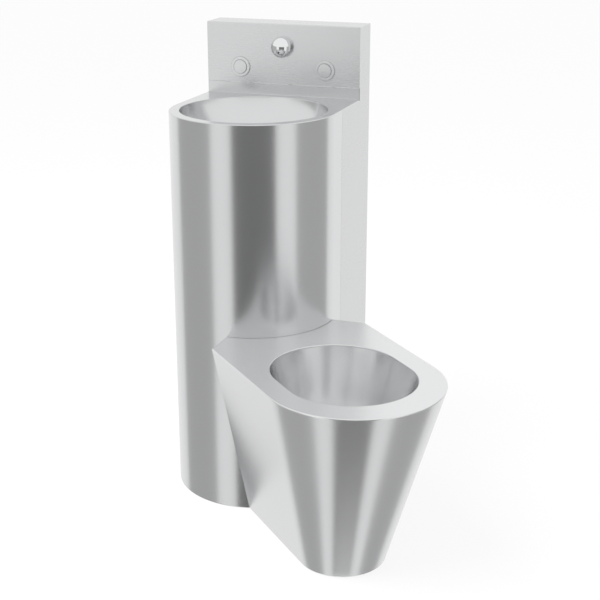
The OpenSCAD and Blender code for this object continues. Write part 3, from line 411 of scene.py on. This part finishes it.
first = math.asin(nozzle_r / dome_r)
dome = [(nozzle_r, dome_r - nozzle_l)]
dome += [(dome_r * math.sin(a), dome_r * math.cos(a))
         for a in (first + (math.pi - first) * k / dome_steps for k in range(dome_steps + 1))]
bm = bmesh.new()
out = Vector((0, -math.cos(nozzle_turn), -math.sin(nozzle_turn)))
up = Vector((0, -math.sin(nozzle_turn), math.cos(nozzle_turn)))
middle = Vector((0, back_y - dome_rise, spout_z))
rows_to_faces(bm, [[middle + out * s + up * (r * math.cos(a)) + Vector((r * math.sin(a), 0, 0))
                    for a in (2 * math.pi * k / dome_sides for k in range(dome_sides))]
                   for r, s in dome], closed=True)
bmesh.ops.remove_doubles(bm, verts=bm.verts, dist=1e-7)
bmesh.ops.bisect_plane(bm, geom=bm.verts[:] + bm.edges[:] + bm.faces[:], plane_co=(0, back_y + 0.0001, 0),
                       plane_no=(0, 1, 0), clear_outer=True)
shank = [(shank_r, 0.0), (shank_r, -shank_l), (bore_r, -shank_l), (bore_r, -bore_l),
         (jet_r, -bore_l), (jet_r, 0.0)]
rows_to_faces(bm, [[(r * math.sin(a), back_y - s, spout_z + r * math.cos(a))
                    for a in (2 * math.pi * k / shank_sides for k in range(shank_sides))]
                   for r, s in shank], closed=True)
bmesh.ops.recalc_face_normals(bm, faces=bm.faces)
piece("spout_dome", bm, chrome, ["spout"])

# Pan skirt.
# The pan's outer wall tapers to the floor. It is one folded and rolled sheet,
# closed by a narrow face at each back corner, where it is welded to the column.
pan_top = 0.400
pan_half, pan_half_foot = 0.180, 0.090
pan_front, pan_front_foot = 0.643, 0.509
skirt_top = 0.3966
skirt_bend = 0.003
skirt_steps = 30
corner_foot = math.sqrt(column_r ** 2 - pan_half_foot ** 2)

skirt_steel = metal("brushed steel, pan skirt", steel, 0.24, (9, 9, 1500), stretch=0.35, along=(0, 0, 1))


def pan_point(u, v, z):
    """A point by its reach u along the pan from the column's axis, and v across it."""
    return ((u + v) / math.sqrt(2), column_y + (v - u) / math.sqrt(2), z)


def pan_plan(z, inset=0.0, steps=96):
    """The skirt's outline at one height, from the column round the front and back to the column."""
    share = z / pan_top
    half = pan_half_foot + share * (pan_half - pan_half_foot) - inset
    front = pan_front_foot + share * (pan_front - pan_front_foot) - inset
    corner = corner_foot + share * (column_r - corner_foot) + inset * (math.sqrt(2) - 1)
    low = corner - half
    back = (low + math.sqrt(2 * column_r ** 2 - low ** 2)) / 2
    back = min(back, corner)
    side = [(back, low - back), (corner, -half)]
    if corner - back <= 1e-6:
        side = [(corner - 1e-6, -half), (corner, -half)]
    arc = [(front - half + half * math.sin(math.pi * k / steps), -half * math.cos(math.pi * k / steps))
           for k in range(steps + 1)]
    return side + arc + [(u, -v) for u, v in reversed(side)]


bm = bmesh.new()
skirt_rows = [(0.0, 0.016), (0.0, 0.003), (0.0004, 0.0015), (0.0015, 0.0004), (0.003, 0.0)]
skirt_rows += [(skirt_bend + (skirt_top - skirt_bend) * k / skirt_steps, 0.0)
               for k in range(1, skirt_steps + 1)]
rows_to_faces(bm, [[pan_point(u, v, z) for u, v in pan_plan(z, inset)] for z, inset in skirt_rows])
piece("pan_skirt_sheet", bm, skirt_steel, ["pan_skirt"], thick=sheet)

# Pan rim and bowl.
# The rim is a flat plate with a rounded outer edge. The toilet bowl hangs from
# it: a pressing with straight sloping walls that narrow to the trap's mouth.
rim_r = 0.0026
seat_r, seat_rear, seat_front = 0.131, 0.387, 0.449
waist_r, waist_rear, waist_front, waist_z = 0.100, 0.375, 0.421, 0.262
sump_r, sump_u, sump_z = 0.049, 0.385, 0.175
rim_lip_z, bowl_top, wall_top, wall_step = 0.3962, 0.3965, 0.396, 0.0067
wall_steps = 33
weld_bead, weld_steps = 0.0007, 48
# The rim's steel is lighter in tone and less metallic than the rest: painted light on the top that faces
# the lamp.
lit_rim_steel = metal("brushed steel, pan rim, painted light", (0.74, 0.745, 0.75), 0.25, (9, 1300, 9), bare=0.9)
toilet_steel = metal("brushed steel, toilet bowl", (0.76, 0.765, 0.77), 0.2, (60, 60, 60),
                     depth=0.000001, stretch=0.5, along=(0, 0, 1), bare=0.93)


def seat_row(r, rear, front, z, steps=72):
    """A long round row: two half circles, of radius r, joined by straight sides."""
    row = []
    for centre, low in ((front, -90), (rear, 90)):
        row += [(centre + r * math.cos(math.radians(low + 180 * k / steps)),
                 r * math.sin(math.radians(low + 180 * k / steps)), z) for k in range(steps + 1)]
    return row


bm = bmesh.new()
edge = [(pan_top - d, i) for i, d in reversed(round_over(rim_r, 5))]
edge = [(skirt_top, 0.0)] + edge
outer = rows_to_faces(bm, [[pan_point(u, v, z) for u, v in pan_plan(min(z, pan_top), inset)]
                           for z, inset in edge])[-1]
top = pan_plan(pan_top, rim_r)
high, low = math.atan2(top[-1][1], top[-1][0]), math.atan2(top[0][1], top[0][0])
weld_r = column_r + weld_bead
weld_turns = [high + (low - high) * k / weld_steps for k in range(1, weld_steps)]
weld, turned = [[bm.verts.new(pan_point(weld_r * math.cos(a), weld_r * math.sin(a), z)) for a in weld_turns]
                for z in (pan_top, pan_top - sheet)]
for a, b, c, d in zip(weld, weld[1:], turned[1:], turned):
    bm.faces.new((a, b, c, d))
loop = outer + weld
lip = [seat_row(seat_r + i, seat_rear, seat_front, pan_top - d) for i, d in round_over(lip_r, 5)]
lip += [seat_row(seat_r, seat_rear, seat_front, rim_lip_z)]
inner = rows_to_faces(bm, [[pan_point(*p) for p in row] for row in lip], closed=True)[0]
borders = [bm.edges.get((a, b)) or bm.edges.new((a, b))
           for ring in (loop, inner) for a, b in zip(ring, ring[1:] + ring[:1])]
bmesh.ops.triangle_fill(bm, use_beauty=True, edges=borders, normal=(0, 0, 1))
bmesh.ops.recalc_face_normals(bm, faces=bm.faces)
piece("pan_rim_plate", bm, lit_rim_steel, ["pan_deck"])


def bowl_size(z):
    """The toilet bowl's radius and the centres of its two half circles at one height."""
    if z > waist_z:
        s = (z - waist_z) / (pan_top - sheet - waist_z)
        return (waist_r + s * (seat_r - waist_r), waist_rear + s * (seat_rear - waist_rear),
                waist_front + s * (seat_front - waist_front))
    s = (z - sump_z) / (waist_z - sump_z)
    return (sump_r + s * (waist_r - sump_r), sump_u + s * (waist_rear - sump_u),
            sump_u + s * (waist_front - sump_u))


bm = bmesh.new()
levels = [bowl_top] + [wall_top - wall_step * k for k in range(wall_steps)] + [sump_z]
rows_to_faces(bm, [[pan_point(*p) for p in seat_row(*bowl_size(z), z)] for z in levels], closed=True)
bmesh.ops.remove_doubles(bm, verts=bm.verts, dist=1e-6)
piece("toilet_bowl", bm, toilet_steel, ["pan_bowl"], thick=sheet)

# Pipework and fittings.
# Everything behind the casing but the springs keeps its CAD form: drawn steel
# soil pipe, white moulded waste, cast brass valves, a copper riser and air tubes.
inner_steel = metal("mill steel", (0.55, 0.555, 0.56), 0.38, (300, 300, 300))
brass = metal("turned brass", (0.72, 0.53, 0.22), 0.3, (500, 500, 500))
copper = metal("drawn copper", (0.75, 0.38, 0.22), 0.25, (200, 200, 200))


def moulded(name, tone, roughness):
    """A plastic or rubber moulding, with a fine even speckle."""
    return grained(name, tone, roughness, (220, 220, 220), 0.00003)


finishes = {
    "chrome": chrome, "brass": brass, "copper": copper,
    "inner_steel": inner_steel, "spring_steel": inner_steel,
    "sheet_steel": shaded_side_steel, "button_steel": button_steel,
    "plastic": moulded("white moulding", (0.78, 0.78, 0.76), 0.42),
    "rubber": moulded("black rubber", (0.018, 0.018, 0.018), 0.6),
    "lever_red": moulded("red dipped grip", (0.5, 0.03, 0.025), 0.4),
    "air_tube": moulded("blue air tube", (0.08, 0.24, 0.5), 0.3),
}
for part in frame["record"]["subparts"]:
    cad_mesh = frame["nodes"][part["node"]].data
    cad_mesh.materials.clear()
    cad_mesh.materials.append(finishes[part["material_slot"]])

# Springs.
# Four coil springs of round stainless wire: one behind each button's cap, one over each
# valve's piston.
spring_turns = 5
turn_steps = 28
wire_sides = 8
spring_ease = 0.00005
up_seat, back_seat = 2, 1


def spring(name, node, along, wire):
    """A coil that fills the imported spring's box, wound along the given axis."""
    low, high = [list(corner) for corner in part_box(node)]
    length = high[along] - low[along] - 2 * spring_ease
    across = [i for i in range(3) if i != along]
    centre = [(a + b) / 2 for a, b in zip(low, high)]
    coil_r = (high[0] - low[0] - wire) / 2
    bm = bmesh.new()
    rings = []
    count = spring_turns * turn_steps
    for i in range(count + 1):
        a = math.tau * i / turn_steps
        ring = []
        for k in range(wire_sides):
            b = math.tau * k / wire_sides
            reach = coil_r + wire / 2 * math.cos(b)
            place = list(centre)
            place[across[0]] += reach * math.cos(a)
            place[across[1]] += reach * math.sin(a)
            rise = (length - wire) * i / count + wire / 2 * (1 + math.sin(b))
            place[along] = low[along] + spring_ease + rise
            ring.append(bm.verts.new(place))
        rings.append(ring)
    for first, second in zip(rings, rings[1:]):
        for k in range(wire_sides):
            n = (k + 1) % wire_sides
            bm.faces.new((first[k], first[n], second[n], second[k]))
    bm.faces.new(rings[0])
    bm.faces.new(rings[-1])
    bmesh.ops.recalc_face_normals(bm, faces=bm.faces)
    coil = piece(name, bm, inner_steel, [node], sharp=70)
    seat = list(centre)
    seat[along] = high[along] - spring_ease
    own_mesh(coil)


button_wire, valve_wire = 0.001, 0.0012
spring("left_button_coil", "button_spring_left", back_seat, button_wire)
spring("right_button_coil", "button_spring_right", back_seat, button_wire)
spring("flush_valve_coil", "flush_spring", up_seat, valve_wire)
spring("basin_valve_coil", "basin_valve_spring", up_seat, valve_wire)

# Studio.
# A pale floor, a white room, grey cards that the metal mirrors, and one large
# soft lamp overhead.
floor_mesh = bpy.data.meshes.new("floor")
bm = bmesh.new()
bmesh.ops.create_grid(bm, x_segments=1, y_segments=1, size=20)
bm.to_mesh(floor_mesh)
bm.free()
floor = bpy.data.objects.new("floor", floor_mesh)
floor_drop = 0.0005
floor.location = (0, 0, -floor_drop)
scene.collection.objects.link(floor)
floor.visible_glossy = False
floor_skin = bpy.data.materials.new("pale floor")
floor_skin.use_nodes = True
nodes, links = floor_skin.node_tree.nodes, floor_skin.node_tree.links
plain = nodes["Principled BSDF"]
plain.inputs["Base Color"].default_value = (0.9, 0.9, 0.9, 1)
plain.inputs["Roughness"].default_value = 0.9
glow = nodes.new("ShaderNodeEmission")
glow.inputs["Color"].default_value = (1, 1, 1, 1)
glow.inputs["Strength"].default_value = 1
path = nodes.new("ShaderNodeLightPath")
share = nodes.new("ShaderNodeMath")
share.operation = "MULTIPLY"
floor_glow = 0.85
share.inputs[1].default_value = floor_glow
links.new(path.outputs["Is Camera Ray"], share.inputs[0])
blend = nodes.new("ShaderNodeMixShader")
links.new(share.outputs[0], blend.inputs[0])
links.new(plain.outputs[0], blend.inputs[1])
links.new(glow.outputs[0], blend.inputs[2])
links.new(blend.outputs[0], nodes["Material Output"].inputs["Surface"])
floor_mesh.materials.append(floor_skin)

world = bpy.data.worlds.new("white room")
scene.world = world
world.use_nodes = True
nodes, links = world.node_tree.nodes, world.node_tree.links
backdrop = nodes["Background"]
room = nodes.new("ShaderNodeBackground")
room.inputs["Color"].default_value = (1, 1, 1, 1)
room.inputs["Strength"].default_value = 0.9
backdrop.inputs["Color"].default_value = (1, 1, 1, 1)
backdrop.inputs["Strength"].default_value = 1
path = nodes.new("ShaderNodeLightPath")
direct = nodes.new("ShaderNodeMath")
direct.operation = "MAXIMUM"
links.new(path.outputs["Is Camera Ray"], direct.inputs[0])
links.new(path.outputs["Is Glossy Ray"], direct.inputs[1])
clear = nodes.new("ShaderNodeMath")
clear.operation = "MAXIMUM"
links.new(direct.outputs[0], clear.inputs[0])
links.new(path.outputs["Is Transmission Ray"], clear.inputs[1])
mix = nodes.new("ShaderNodeMixShader")
links.new(clear.outputs[0], mix.inputs[0])
links.new(room.outputs[0], mix.inputs[1])
links.new(backdrop.outputs[0], mix.inputs[2])
links.new(mix.outputs[0], nodes["World Output"].inputs["Surface"])

# Three plain cards stand round the unit for the metal to mirror: a dark one on the camera's side, and a
# grey one to the left and the right of it. Elsewhere the metal mirrors the white room. A turn is counted
# from the camera. The cards reach below the floor, which the metal doesn't mirror.
card_reach = 4.0
card_centre = (0.1, -0.35)
card_foot = -8.0
card_head = 1.5
card_step = 5
cards = [
    ("grey card, left", -120, -60, 0.5),
    ("dark card, middle", -30, 30, 0.2),
    ("grey card, right", 60, 120, 0.5),
]
for name, start, stop, level in cards:
    bm = bmesh.new()
    strip = []
    for turn in range(start, stop + 1, card_step):
        a = camera_turn + math.radians(turn)
        x = card_centre[0] + card_reach * math.sin(a)
        y = card_centre[1] - card_reach * math.cos(a)
        strip.append((bm.verts.new((x, y, card_foot)), bm.verts.new((x, y, card_head))))
    for (low, high), (next_low, next_high) in zip(strip, strip[1:]):
        bm.faces.new((low, next_low, next_high, high))
    card_mesh = bpy.data.meshes.new(name)
    bm.to_mesh(card_mesh)
    bm.free()
    card = bpy.data.objects.new(name, card_mesh)
    scene.collection.objects.link(card)
    card.visible_camera = False
    card.visible_diffuse = False
    card.visible_shadow = False
    card.visible_transmission = False
    card_skin = bpy.data.materials.new(name)
    card_skin.use_nodes = True
    nodes, links = card_skin.node_tree.nodes, card_skin.node_tree.links
    light = nodes.new("ShaderNodeEmission")
    light.inputs["Color"].default_value = (1, 1, 1, 1)
    light.inputs["Strength"].default_value = level
    links.new(light.outputs[0], nodes["Material Output"].inputs["Surface"])
    card_mesh.materials.append(card_skin)

lamp_data = bpy.data.lights.new("soft lamp", "AREA")
lamp_data.shape = "SQUARE"
lamp_data.size = 2.4
lamp_data.energy = 110
lamp = bpy.data.objects.new("soft lamp", lamp_data)
lamp.location = (-1.2, -1.6, 3.0)
lamp.rotation_euler = (Vector((0.1, -0.3, 0.5)) - lamp.location).to_track_quat("-Z", "Y").to_euler()
lamp.visible_glossy = False
scene.collection.objects.link(lamp)
